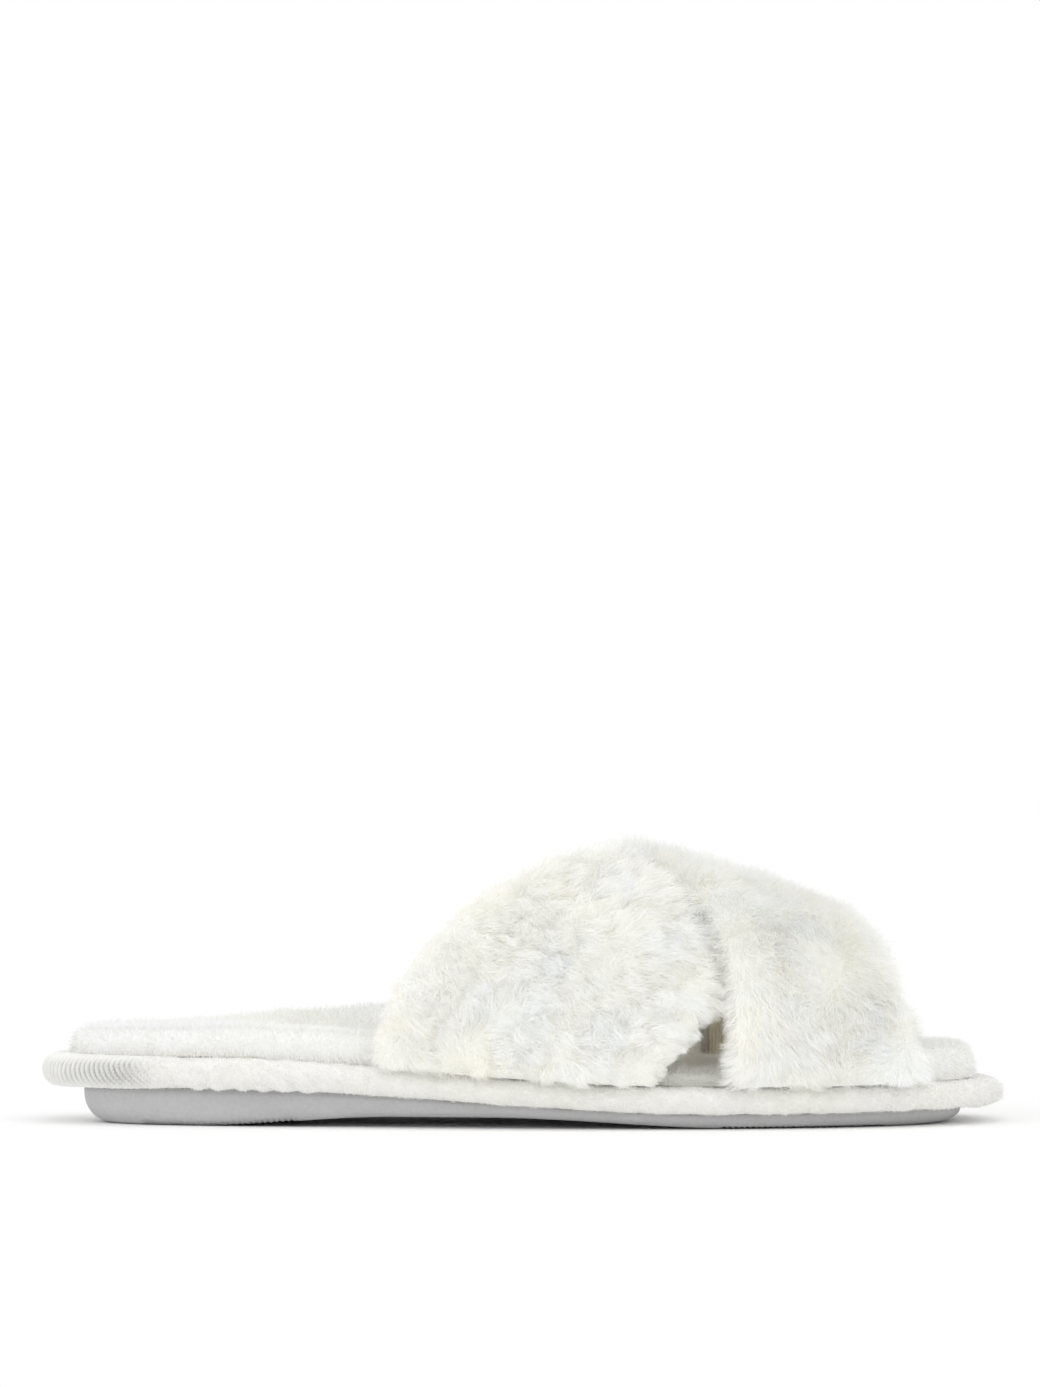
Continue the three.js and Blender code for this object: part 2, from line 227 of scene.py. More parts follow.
def ripple(points, wavelength, seed):
    """A smooth random field, mostly from -1 to 1: a sum of waves in random directions."""
    waves = 20
    rng = np.random.default_rng(seed)
    directions = unit(rng.normal(size=(waves, points.shape[-1])))
    pulses = 2 * math.pi / (wavelength * rng.uniform(0.7, 1.4, waves))
    phases = rng.uniform(0, 2 * math.pi, waves)
    waved = np.sin(points @ (directions * pulses[:, None]).T + phases)
    return waved.sum(axis=-1) / math.sqrt(waves)


# ---- Shape of the sole ----


def half_width(x):
    return lerp(HEEL_HALF_WIDTH, BALL_HALF_WIDTH, smoothstep(x, *WIDENING_RUN))


def middle_line(x):
    waist = WAIST["shift"] * np.exp(-(((x - WAIST["x"]) / WAIST["spread"]) ** 2))
    return waist + TOE_SWING * smoothstep(x, *TOE_SWING_RUN)


def rim_bottom(x):
    fall = (RIM_BOTTOM_HEEL - RIM_BOTTOM_BALL) * smoothstep(x, *RIM_FALL_RUN)
    return RIM_BOTTOM_HEEL - fall + TOE_LIFT * smoothstep(x, *TOE_LIFT_RUN)


def rim_thickness(x):
    return lerp(RIM_THICKNESS["heel"], RIM_THICKNESS["ball"], smoothstep(x, *RIM_THICKNESS["run"]))


def rim_top(x):
    return rim_bottom(x) + rim_thickness(x)


def tread_height(x):
    """How far the tread is off the floor at x."""
    return plateau(x, **WAIST_ARCH)


def sock_top(x, y):
    """The footbed's upper face: dished across, and raised under the arch of the foot."""
    across = (y - middle_line(x)) / half_width(x)
    arch = plateau(x, **ARCH_COOKIE) * smoothstep(y, *ARCH_COOKIE_RUN)
    toe = SOCK_TOE_LIFT * smoothstep(x, *SOCK_TOE_RUN)
    return rim_top(x) + SOCK_HEIGHT + toe + arch - DISH_DEPTH * (1 - across**2)


def ring(angles, side, end, z_at):
    """Points round the slipper: the rim's outline drawn in by side and end.

    Angle 0 is at the heel, and the angles grow along the outer side.
    """
    x = -(HALF_LENGTH - end) * signed_power(np.cos(angles), 2 / OUTLINE_POWER)
    out = (half_width(x) - side) * signed_power(np.sin(angles), 2 / OUTLINE_POWER)
    y = middle_line(x) - out
    return np.stack([x, y, np.broadcast_to(z_at(x, y), x.shape)], axis=-1)


def even_angles(count):
    """Angles from heel to toe whose points are evenly spaced along the outline."""
    fine = np.linspace(0, math.pi, 20001)
    line = ring(fine, 0, 0, lambda x, y: 0 * x)
    steps = np.linalg.norm(np.diff(line, axis=0), axis=1)
    run = np.concatenate([[0], np.cumsum(steps)])
    return np.interp(np.linspace(0, run[-1], count + 1), run, fine)


def frame_shift():
    """How far the CAD part was moved to put the origin under the middle of its box."""
    outline = ring(np.linspace(0, 2 * math.pi, 4001), 0, 0, lambda x, y: 0 * x)
    low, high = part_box("rim_cover")
    middle = (outline.min(axis=0) + outline.max(axis=0)) / 2
    return np.array([0, (low.y + high.y) / 2 / MM - middle[1], 0])


SHIFT = frame_shift()


# ---- Meshes ----


def new_piece(name, points, faces, slot, material, nodes, uv=None, uv_name="OFBake"):
    """A smooth mesh on the slipper's one body, standing for CAD nodes.

    faces holds arrays of 3 or 4 corners.
    """
    mesh = bpy.data.meshes.new(name)
    points = points.reshape(-1, 3)
    mesh.vertices.add(len(points))
    mesh.vertices.foreach_set("co", ((points + SHIFT) * MM).astype(np.float32).ravel())
    corners = np.concatenate([some.ravel() for some in faces]).astype(np.int32)
    sizes = np.concatenate([np.full(len(some), some.shape[1]) for some in faces])
    starts = np.concatenate([[0], np.cumsum(sizes)[:-1]]).astype(np.int32)
    mesh.loops.add(len(corners))
    mesh.loops.foreach_set("vertex_index", corners)
    mesh.polygons.add(len(sizes))
    mesh.polygons.foreach_set("loop_start", starts)
    mesh.polygons.foreach_set("use_smooth", np.ones(len(sizes), bool))
    mesh.update(calc_edges=True)
    if uv is not None:
        layer = mesh.uv_layers.new(name=uv_name)
        layer.data.foreach_set("uv", uv.reshape(-1, 2)[corners].astype(np.float32).ravel())
    mesh.materials.append(material)
    piece = bpy.data.objects.new(name, mesh)
    bpy.context.scene.collection.objects.link(piece)
    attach(piece, "root")
    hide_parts(*nodes)
    return piece


def grid_faces(rows, columns, loop_rows=False, loop_columns=False):
    """Quads over a grid of rows by columns points."""
    i = np.arange(rows if loop_rows else rows - 1)[:, None]
    j = np.arange(columns if loop_columns else columns - 1)[None, :]
    next_i, next_j = (i + 1) % rows, (j + 1) % columns
    near, far = i * columns, next_i * columns
    corners = [near + j, far + j, far + next_j, near + next_j]
    return np.stack([np.broadcast_to(c, (i.size, j.size)) for c in corners], axis=-1).reshape(-1, 4)


def weld(piece):
    """Joins the points that coincide, where rows meet, and turns all faces outwards."""
    built = bmesh.new()
    built.from_mesh(piece.data)
    bmesh.ops.remove_doubles(built, verts=built.verts, dist=1e-6)
    bmesh.ops.dissolve_degenerate(built, edges=built.edges, dist=1e-7)
    bmesh.ops.recalc_face_normals(built, faces=built.faces)
    built.to_mesh(piece.data)
    built.free()
    return piece


def loft(name, sections, slot, material, nodes, uv=None, uv_name="OFBake"):
    """A closed body with filled ends, through closed sections (rows, columns, 3)."""
    rows, columns = sections.shape[:2]
    faces = [grid_faces(rows, columns, loop_columns=True)]
    half = columns // 2
    k = np.arange(half - 1)
    for start, flip in ((0, False), ((rows - 1) * columns, True)):
        fill = np.stack([k, k + 1, columns - 2 - k, columns - 1 - k], axis=-1) + start
        faces.append(fill[:, ::-1] if flip else fill)
    return weld(new_piece(name, sections, faces, slot, material, nodes, uv, uv_name))


def grid_normals(grid, loop_rows=False):
    """Unit normals of a grid of points, outward where rows run heel to toe and columns upwards."""
    if loop_rows:
        along = np.roll(grid, -1, axis=0) - np.roll(grid, 1, axis=0)
    else:
        along = np.gradient(grid, axis=0)
    return unit(np.cross(along, np.gradient(grid, axis=1)))


# ---- Fibres ----


class Scatter:
    """Random places spread evenly over a grid of points, `density` per square millimetre."""

    def __init__(self, grid, density, rng):
        diagonal = grid[1:, 1:] - grid[:-1, :-1]
        other = grid[1:, :-1] - grid[:-1, 1:]
        area = np.linalg.norm(np.cross(diagonal, other), axis=-1) / 2
        wanted = area * density
        counts = np.floor(wanted + rng.random(wanted.shape)).astype(int)
        cells = np.repeat(np.arange(counts.size), counts.ravel())
        self.row, self.column = np.divmod(cells, counts.shape[1])
        self.u = rng.random((len(cells), 1))
        self.v = rng.random((len(cells), 1))

    def at(self, values):
        """The values of a grid (rows, columns, any) at these places."""
        r, c = self.row, self.column
        low = lerp(values[r, c], values[r, c + 1], self.v)
        high = lerp(values[r + 1, c], values[r + 1, c + 1], self.v)
        return lerp(low, high, self.u)


class Tufts:
    """The tuft each fibre belongs to, on a jittered grid over coordinates in millimetres."""

    def __init__(self, places, spacing, rng):
        cell = np.floor(places / spacing).astype(int)
        cell -= cell.min(axis=0) - 1
        places = places - np.floor(places.min(axis=0) / spacing) * spacing + spacing
        size = cell.max(axis=0) + 2
        jitter = rng.uniform(0.05, 0.95, (size[0], size[1], 2))
        character = rng.normal(size=(size[0], size[1], 4))
        nearest = np.full(len(places), 1e9)
        self.pull = np.zeros_like(places)
        self.character = np.zeros((len(places), 4))
        for di in (-1, 0, 1):
            for dj in (-1, 0, 1):
                i, j = cell[:, 0] + di, cell[:, 1] + dj
                offset = (np.stack([i, j], axis=-1) + jitter[i, j]) * spacing - places
                distance = np.linalg.norm(offset, axis=-1)
                closer = distance < nearest
                nearest[closer] = distance[closer]
                self.pull[closer] = offset[closer]
                self.character[closer] = character[i, j][closer]


def fibre_points(roots, normals, start, end, length, width, pull, curl, rng, rows):
    """Tapering ribbons: 2 points a row and one at the tip, with their places along the fibre.

    They lie with their flat faces more or less outward.
    """
    count = len(roots)
    flat = unit(np.cross(lerp(start, end, 0.5), normals))
    tilt = rng.uniform(-0.5, 0.5, (count, 1)) * math.pi * 0.8
    other = unit(np.cross(start, flat))
    side = flat * np.cos(tilt) + other * np.sin(tilt)
    phase = rng.uniform(0, 2 * math.pi, (count, 1))
    points = np.zeros((count, 2 * rows + 1, 3))
    along = np.zeros(2 * rows + 1)
    for row in range(rows + 1):
        share = row / rows
        run = start * (share - share**2 / 2) + end * share**2 / 2
        sway = curl * share * np.sin(phase + 5 * share)
        middle = roots + length * run + pull * share**2 + sway * other
        half = side * width * (0.5 - 0.3 * share)
        if row == rows:
            points[:, 2 * row] = middle
            along[2 * row] = 1
        else:
            points[:, 2 * row] = middle - half
            points[:, 2 * row + 1] = middle + half
            along[2 * row : 2 * row + 2] = share
    return points, along


def grow(name, fibres, tint, slot, material, nodes, parts):
    """Meshes of fibres, cut into named parts in the order the fibres come."""
    points, along = fibres
    stride = len(along)
    k = 2 * np.arange(stride // 2 - 1)
    quads = np.stack([k, k + 1, k + 3, k + 2], axis=-1)
    tip = np.array([[stride - 3, stride - 2, stride - 1]])
    uv = np.stack(np.broadcast_arrays(tint[:, None], along[None, :]), axis=-1)
    for part, chosen in zip(parts, np.array_split(np.arange(len(points)), len(parts))):
        base = (np.arange(len(chosen)) * stride)[:, None, None]
        faces = [(quads[None] + base).reshape(-1, 4), (tip[None] + base).reshape(-1, 3)]
        new_piece(f"{name}_{part}", points[chosen], faces, slot, material, nodes, uv[chosen])


# ---- Materials ----


def srgb(red, green, blue):
    """A colour of 0 to 255 levels as Blender's linear RGBA."""
    levels = np.array([red, green, blue]) / 255
    linear = np.where(levels <= 0.04045, levels / 12.92, ((levels + 0.055) / 1.055) ** 2.4)
    return (*linear, 1.0)


class Look:
    """A procedural material, to which nodes are added one at a time."""

    def __init__(self, name, roughness, sheen=0.0, specular=0.5):
        self.material = bpy.data.materials.new(name)
        self.material.use_nodes = True
        self.tree = self.material.node_tree
        self.shader = self.tree.nodes["Principled BSDF"]
        self.set(self.shader, {"Roughness": roughness, "Specular IOR Level": specular})
        self.set(self.shader, {"Sheen Weight": sheen, "Sheen Roughness": 0.5})

    def set(self, node, inputs):
        for key, value in inputs.items():
            if isinstance(value, bpy.types.NodeSocket):
                self.tree.links.new(value, node.inputs[key])
            else:
                node.inputs[key].default_value = value
        return node

    def add(self, kind, inputs=None, **settings):
        node = self.tree.nodes.new(kind)
        for key, value in settings.items():
            setattr(node, key, value)
        return self.set(node, inputs or {})

    def place(self):
        return self.add("ShaderNodeTexCoord").outputs["Object"]

    def noise(self, scale, detail=4.0, vector=None):
        inputs = {"Vector": vector or self.place(), "Scale": scale, "Detail": detail}
        return self.add("ShaderNodeTexNoise", inputs).outputs[0]

    def waves(self, vector, scale, direction, distortion):
        inputs = {"Vector": vector, "Scale": scale, "Distortion": distortion}
        return self.add("ShaderNodeTexWave", inputs, bands_direction=direction).outputs["Fac"]

    def ramp(self, factor, stops):
        node = self.add("ShaderNodeValToRGB", {0: factor})
        elements = node.color_ramp.elements
        for k, (position, colour) in enumerate(stops):
            element = elements[k] if k < 2 else elements.new(position)
            element.position = position
            element.color = colour
        return node.outputs[0]

    def tinted(self, colour, tint):
        """The colour multiplied by the tint, on a Mix node's colour sockets."""
        inputs = {0: 1.0, 6: colour, 7: tint}
        node = self.add("ShaderNodeMix", inputs, data_type="RGBA", blend_type="MULTIPLY")
        return node.outputs[2]

    def multiply(self, first, second):
        return self.add("ShaderNodeMath", {0: first, 1: second}, operation="MULTIPLY").outputs[0]

    def colour(self, value):
        self.set(self.shader, {"Base Color": value})
        return self

    def bump(self, height, distance):
        inputs = {"Height": height, "Distance": distance * MM, "Strength": 1.0}
        node = self.add("ShaderNodeBump", inputs)
        self.set(self.shader, {"Normal": node.outputs[0]})
        return self


def pile_look(name, root, tip, cool, plain, warm, sheen):
    """Fibres that pale from root to tip, in tints that go from cool to warm."""
    look = Look(name, roughness=0.95, sheen=sheen, specular=0.15)
    uv = look.add("ShaderNodeUVMap", uv_map="OFBake").outputs["UV"]
    split = look.add("ShaderNodeSeparateXYZ", {0: uv})
    along = look.ramp(split.outputs["Y"], [(0.0, root), (0.75, tip)])
    tint = look.ramp(split.outputs["X"], [(0.0, cool), (1.0, warm), (0.5, plain)])
    return look.colour(look.tinted(along, tint)).material


def backing_look(name, low, high, scale=220.0):
    """The dense felted undercoat that fibres stand on."""
    look = Look(name, roughness=1.0, sheen=0.2, specular=0.1)
    mottle = look.ramp(look.noise(scale), [(0.3, low), (0.7, high)])
    return look.colour(mottle).bump(look.noise(scale * 6), 0.4).material


def rim_look():
    """Fleece cloth, with painted shade over the sides of the gathered heel, darkest in the valleys
    between its gathers.
    """
    look = Look("rim_fabric", roughness=1.0, sheen=0.2, specular=0.1)
    mottle = look.ramp(look.noise(420.0), [(0.3, srgb(243, 242, 239)), (0.7, srgb(250, 250, 248))])
    # Painted shade: this attribute darkens the cloth's colour where the gathers fold, standing in
    # for the shade that falls there.
    painted_gather_shade = look.add("ShaderNodeAttribute", attribute_name="painted_gather_shade").outputs["Fac"]
    shade = look.ramp(painted_gather_shade, [(0.0, (1, 1, 1, 1)), (1.0, (0.5, 0.5, 0.48, 1))])
    return look.colour(look.tinted(mottle, shade)).bump(look.noise(2500.0), 0.3).material


def rubber_look():
    look = Look("moulded_rubber", roughness=0.52, specular=0.35)
    cloud = look.ramp(look.noise(38.0), [(0.25, srgb(184, 184, 185)), (0.75, srgb(194, 194, 195))])
    specks = look.ramp(look.noise(900.0, 2.0), [(0.3, (0.93, 0.93, 0.93, 1)), (0.65, (1, 1, 1, 1))])
    return look.colour(look.tinted(cloud, specks)).bump(look.noise(2600.0, 3.0), 0.08).material


def knit_look():
    """A brushed weft knit: rows of loops, on coordinates in millimetres."""
    look = Look("knit_lining", roughness=0.9, sheen=0.25, specular=0.2)
    uv = look.add("ShaderNodeUVMap", uv_map="Knit").outputs["UV"]
    wales = look.waves(uv, scale=0.36, direction="X", distortion=0.6)
    courses = look.waves(uv, scale=0.5, direction="Y", distortion=1.2)
    loops = look.multiply(wales, courses)
    shade = look.ramp(loops, [(0.0, srgb(245, 236, 212)), (0.55, srgb(254, 249, 234))])
    cloud = look.ramp(look.noise(60.0), [(0.3, (0.94, 0.94, 0.93, 1)), (0.7, (1, 1, 1, 1))])
    return look.colour(look.tinted(shade, cloud)).bump(loops, 0.35).material


def thread_look():
    look = Look("twisted_thread", roughness=0.6, sheen=0.15, specular=0.4)
    shade = look.ramp(look.noise(1500.0), [(0.3, srgb(238, 236, 229)), (0.7, srgb(248, 247, 242))])
    return look.colour(shade).bump(look.noise(5200.0), 0.05).material


def foam_look():
    look = Look("cut_foam", roughness=0.95, specular=0.2)
    inputs = {"Vector": look.place(), "Scale": 900.0}
    cells = look.add("ShaderNodeTexVoronoi", inputs).outputs["Distance"]
    shade = look.ramp(cells, [(0.0, srgb(226, 220, 203)), (0.6, srgb(245, 241, 229))])
    return look.colour(shade).bump(cells, 0.3).material


def board_look():
    look = Look("pressed_fibre", roughness=0.9, specular=0.2)
    fibres = look.noise(700.0, 8.0)
    shade = look.ramp(fibres, [(0.3, srgb(168, 146, 110)), (0.7, srgb(200, 182, 148))])
    return look.colour(shade).bump(fibres, 0.1).material


FUR = pile_look(
    "strap_fur",
    root=srgb(253, 253, 251),
    tip=srgb(255, 255, 255),
    cool=srgb(253, 254, 255),
    plain=srgb(255, 255, 254),
    warm=srgb(255, 254, 251),
    sheen=0.2,
)
PLUSH = pile_look(
    "sock_plush",
    root=srgb(243, 243, 241),
    tip=srgb(252, 252, 252),
    cool=srgb(252, 252, 254),
    plain=srgb(254, 254, 254),
    warm=srgb(254, 254, 251),
    sheen=0.2,
)
FLEECE = pile_look(
    "rim_fleece",
    root=srgb(241, 240, 236),
    tip=srgb(251, 251, 250),
    cool=srgb(250, 250, 252),
    plain=srgb(253, 253, 252),
    warm=srgb(253, 252, 248),
    sheen=0.2,
)
FUR_UNDERCOAT = backing_look("fur_undercoat", srgb(252, 252, 250), srgb(254, 254, 254))
PLUSH_BACKING = backing_look("plush_backing", srgb(246, 246, 243), srgb(251, 251, 250))
RIM_FABRIC = rim_look()
WADDING_LOOK = backing_look("loose_wadding", srgb(236, 235, 230), srgb(248, 248, 245), 160.0)
RUBBER = rubber_look()
KNIT = knit_look()
THREAD = thread_look()
FOAM = foam_look()
BOARD = board_look()


# ---- Sole ----


def across_sections(angles, rows, bottom, across):
    """Closed sections from side to side, heel to toe.

    They go up the outer side through rows of (side, end, z), over the top, down the inner side
    and back along the bottom, with `across` points on the top and on the bottom.
    """
    outer = np.stack([ring(angles, side, end, z_at) for side, end, z_at in rows], axis=1)
    inner = np.stack([ring(-angles, side, end, z_at) for side, end, z_at in rows], axis=1)[:, ::-1]
    shares = np.linspace(0, 1, across + 2)[1:-1][None, :, None]
    top = rows[-1][2]
    over = lerp(outer[:, -1:], inner[:, :1], shares)
    over[..., 2] = top(over[..., 0], over[..., 1])
    under = lerp(inner[:, -1:], outer[:, :1], shares)
    under[..., 2] = bottom(under[..., 0], under[..., 1])
    return np.concatenate([outer, over, inner, under], axis=1)


def ribs(x):
    """Depth of the tread's ribs at x."""
    depth = np.zeros_like(x)
    for low, high in RIB_BLOCKS:
        inside = plateau(x, 1, (low - RIB_FADE, low), (high, high + RIB_FADE))
        depth += inside * RIB_DEPTH * (0.5 - 0.5 * np.cos(2 * math.pi * (x - low) / RIB_PITCH))
    return depth


def make_outsole():
    def level(degrees):
        """A row of the rounded lower corner, with the ribs fading out above the tread."""
        angle = math.radians(degrees)
        inward, upward = 1 - math.sin(angle), 1 - math.cos(angle)
        fade = max(0.0, 1 - 5 * upward)

        def height(x, y):
            wall = lerp(tread_height(x), rim_bottom(x) - GAP, CORNER_SHARE * upward)
            return wall + fade * ribs(x)

        return OUTSOLE_SIDE + CORNER_SIDE * inward, OUTSOLE_END + CORNER_END * inward, height

    rows = [level(degrees) for degrees in range(0, 91, 9)]
    rows.append((OUTSOLE_SIDE, OUTSOLE_END, lambda x, y: rim_bottom(x) - GAP))
    angles = even_angles(3 * STATIONS)
    sections = across_sections(angles, rows, lambda x, y: tread_height(x) + ribs(x), across=14)
    piece = loft("outsole_moulding", sections, "outsole_rubber", RUBBER, ["outsole"])
    cut_pockets(piece)


def cut_pockets(piece):
    """The lightening pockets in the heel, open upwards under the board."""
    built = bmesh.new()
    for column in range(POCKET["columns"]):
        for row in (-0.5, 0.5):
            x = POCKET["first_x"] + column * (POCKET["length"] + POCKET["rib"])
            y = middle_line(x) + row * (POCKET["width"] + POCKET["rib"])
            low, high = POCKET["floor"], RIM_BOTTOM_HEEL + 1
            box = bmesh.ops.create_cube(built, size=1.0)["verts"]
            for vertex in box:
                across = (vertex.co.x * POCKET["length"] + x, vertex.co.y * POCKET["width"] + y)
                place = np.array([*across, lerp(low, high, vertex.co.z + 0.5)]) + SHIFT
                vertex.co = place * MM
    mesh = bpy.data.meshes.new("pocket_cutter")
    built.to_mesh(mesh)
    built.free()
    cutter = bpy.data.objects.new("pocket_cutter", mesh)
    bpy.context.scene.collection.objects.link(cutter)
    modifier = piece.modifiers.new("pockets", "BOOLEAN")
    modifier.operation = "DIFFERENCE"
    modifier.object = cutter
    graph = bpy.context.evaluated_depsgraph_get()
    cut = bpy.data.meshes.new_from_object(piece.evaluated_get(graph))
    piece.modifiers.clear()
    piece.data = cut
    bpy.data.objects.remove(cutter)


def rim_section(depth, degrees_list):
    """Rows of the cover's section round the rim's edge, `depth` under its outer face."""
    rows = []
    for degrees in degrees_list:
        angle = math.radians(degrees)
        inset = COVER_ROUND - (COVER_ROUND - depth) * math.cos(angle)

        def height(x, y, rise=math.sin(angle)):
            return rim_bottom(x) + rim_thickness(x) / 2 * (1 + rise) - depth * rise

        rows.append((inset, height))
    return rows


def loop_grid(angles, rows):
    return np.stack([ring(angles, inset, inset, z_at) for inset, z_at in rows], axis=1)


def make_rim():
    """The cover: gathered in slanting folds round the heel, with a wavy hem in front of them."""
    half = even_angles(4 * STATIONS)
    angles = np.concatenate([half[:-1], 2 * math.pi - half[:0:-1]])
    outer_rows = [(inset, lambda x, y: rim_bottom(x)) for inset in (COVER_BOTTOM_EDGE, 10.0)]
    outer_rows += rim_section(0, range(-90, 91, 12))
    outer_rows += [(inset, lambda x, y: rim_top(x)) for inset in (5.6, 7.3, COVER_TOP_EDGE)]
    inner_rows = [(COVER_TOP_EDGE, lambda x, y: rim_top(x) - COVER_THICKNESS)]
    inner_rows += rim_section(COVER_THICKNESS, (90, 45, 0, -45, -90))
    inner_rows += [(COVER_BOTTOM_EDGE, lambda x, y: rim_bottom(x) + COVER_THICKNESS)]
    outer, inner = loop_grid(angles, outer_rows), loop_grid(angles, inner_rows)

    widest = outer[:, 9]
    step = np.linalg.norm(np.diff(widest, axis=0, append=widest[:1]), axis=-1)
    run = np.concatenate([[0], np.cumsum(step)[:-1]])
    from_heel = np.minimum(run, step.sum() - run)[:, None]
    rise = outer[..., 2] - rim_bottom(outer[..., 0])
    gathered = 1 - smoothstep(from_heel, *GATHER_FADE_RUN)
    slant = GATHER_SLANT * smoothstep(from_heel, *GATHER_SLANT_RUN)
    gathers = 2 * np.abs(np.sin(math.pi * (from_heel + slant * rise) / GATHER_PITCH)) - 1
    normals = grid_normals(outer, loop_rows=True)
    lumps = 0.18 * ripple(outer, 9.0, seed=11) + 0.1 * ripple(outer, 3.2, seed=12)
    lumps = lumps * lerp(1.0, 0.4, gathered)
    on_edge = smoothstep(np.arange(outer.shape[1])[None, :], 1, 4)
    outer = outer + normals * (on_edge * (GATHER_DEPTH * gathered * gathers + lumps))[..., None]
    hem = plateau(from_heel, 1, HEM["rise"], HEM["fall"])
    low_side = on_edge * (1 - smoothstep(rise, 0.5, 3.5))
    wave = HEM["depth"] + HEM["wave"] * np.sin(2 * math.pi * from_heel / HEM["pitch"])
    outer[..., 2] -= hem * low_side * wave

    rows = np.concatenate([outer, inner], axis=1)
    faces = [grid_faces(*rows.shape[:2], loop_rows=True, loop_columns=True)]
    piece = new_piece("rim_cover_fabric", rows, faces, "rim_fleece", RIM_FABRIC, ["rim_cover"])
    # Painted shade: the sides of the gathered heel are darkened a little all over, and most in the
    # valleys between the gathers.
    painted_gather_shade = np.zeros(rows.shape[:2])
    on_side = 1 - smoothstep(np.abs(normals[..., 2]), 0.5, 0.97)
    painted_gather_shade[:, : outer.shape[1]] = gathered * on_side * (0.25 + 0.75 * np.clip(0.1 - gathers, 0, 1))
    attribute = piece.data.attributes.new("painted_gather_shade", "FLOAT", "POINT")
    attribute.data.foreach_set("value", painted_gather_shade.astype(np.float32).ravel())
    weld(piece)
    grow_fleece(outer[:, 2:], 1 - smoothstep(from_heel, *FLEECE_START_RUN))


def grow_fleece(grid, bald):
    """Short curly fibres on the cover, with none where the cloth is gathered at the heel."""
    rng = np.random.default_rng(21)
    closed = np.concatenate([grid, grid[:1]])
    bare = np.concatenate([bald, bald[:1]])
    spots = Scatter(closed, FLEECE_PILE["density"] * (1 - bare[:-1]), rng)
    roots = spots.at(closed)
    normals = unit(spots.at(grid_normals(closed)))
    spread = np.stack([roots[:, 0] + roots[:, 2], roots[:, 1] + 0.6 * roots[:, 2]], axis=-1)
    tufts = Tufts(spread, FLEECE_PILE["tuft"], rng)
    shaggy = lerp(1.0, 0.45, spots.at(np.repeat(bare[..., None], closed.shape[1], axis=1)))
    lean = unit(rng.normal(size=roots.shape) + 0.8 * tufts.character[:, :3])
    start = unit(normals + 0.45 * lean)
    end = unit(0.35 * normals + lean)
    trimmed = lerp(1.0, 0.35, smoothstep(np.abs(normals[:, 2:]), 0.3, 0.9))
    length = FLEECE_PILE["length"] * shaggy * trimmed * rng.uniform(0.7, 1.25, (len(roots), 1))
    pull = np.zeros_like(roots)
    width, curl = FLEECE_PILE["width"], FLEECE_PILE["curl"]
    fibres = fibre_points(roots, normals, start, end, length, width, pull, curl, rng, rows=2)
    tint = np.clip(0.5 + 0.16 * tufts.character[:, 3] + 0.15 * ripple(roots, 30.0, seed=22), 0, 1)
    parts = ["outer_side", "inner_side"]
    grow("rim_fleece_pile", fibres, tint, "rim_fleece", FLEECE, ["rim_cover"], parts)


def make_platform():
    section = rim_section(COVER_THICKNESS + GAP, range(-90, 91, 30))
    rows = [(inset, inset, z_at) for inset, z_at in section]
    sections = across_sections(even_angles(STATIONS // 2), rows, rows[0][2], across=6)
    piece = loft("midsole_foam", sections, "platform_foam", FOAM, ["platform"])


def make_foam_pad():
    def level(inward, z_at):
        return FOAM_INSET + inward, FOAM_INSET + inward, z_at

    def crown(x, y):
        return sock_top(x, y) - SOCK_THICKNESS

    rows = [
        level(0, lambda x, y: rim_top(x) - COVER_THICKNESS),
        level(0, lambda x, y: rim_top(x) + GAP),
        level(0.6, lambda x, y: lerp(rim_top(x) + GAP, crown(x, y), 0.7)),
        level(2, crown),
    ]
    sections = across_sections(even_angles(STATIONS // 2), rows, rows[0][2], across=16)
    piece = loft("footbed_foam", sections, "pad_foam", FOAM, ["foam_pad"])


def worn_in(x):
    """How far the sock is pressed down under the straps."""
    return plateau(x, **SOCK_PRESSED)


def sock_sections():
    """The sock's sections, its upper face under the tips of the pile, and a side's rows."""

    def level(degrees):
        angle = math.radians(degrees)
        bulge = math.cos(angle) if degrees > 0 else 1
        inset = SOCK_INSET - (SOCK_BULGE - SOCK_PILE * 0.6) * bulge
        share = 0.4 + (0.6 if degrees > 0 else 0.45) * math.sin(angle)

        def height(x, y):
            return lerp(rim_top(x), sock_top(x, y) - SOCK_PILE - worn_in(x), share)

        return inset, inset - 0.5, height

    def bottom(x, y):
        return sock_top(x, y) - SOCK_THICKNESS + 2 * GAP

    rows = [level(degrees) for degrees in range(-60, 91, 10)]
    return across_sections(even_angles(STATIONS), rows, bottom, SOCK_ACROSS), len(rows)


def make_sock():
    sections, side_rows = sock_sections()
    top_columns = 2 * side_rows + SOCK_ACROSS
    upper = sections[:, :top_columns]
    swell = 0.35 * ripple(upper, 42.0, seed=31) + 0.15 * ripple(upper, 14.0, seed=32)
    upper = upper + upward_normals(upper) * swell[..., None]
    sections[:, :top_columns] = upper
    loft("plush_sock_backing", sections, "sock_plush", PLUSH_BACKING, ["plush_sock"])
    grow_plush(upper)


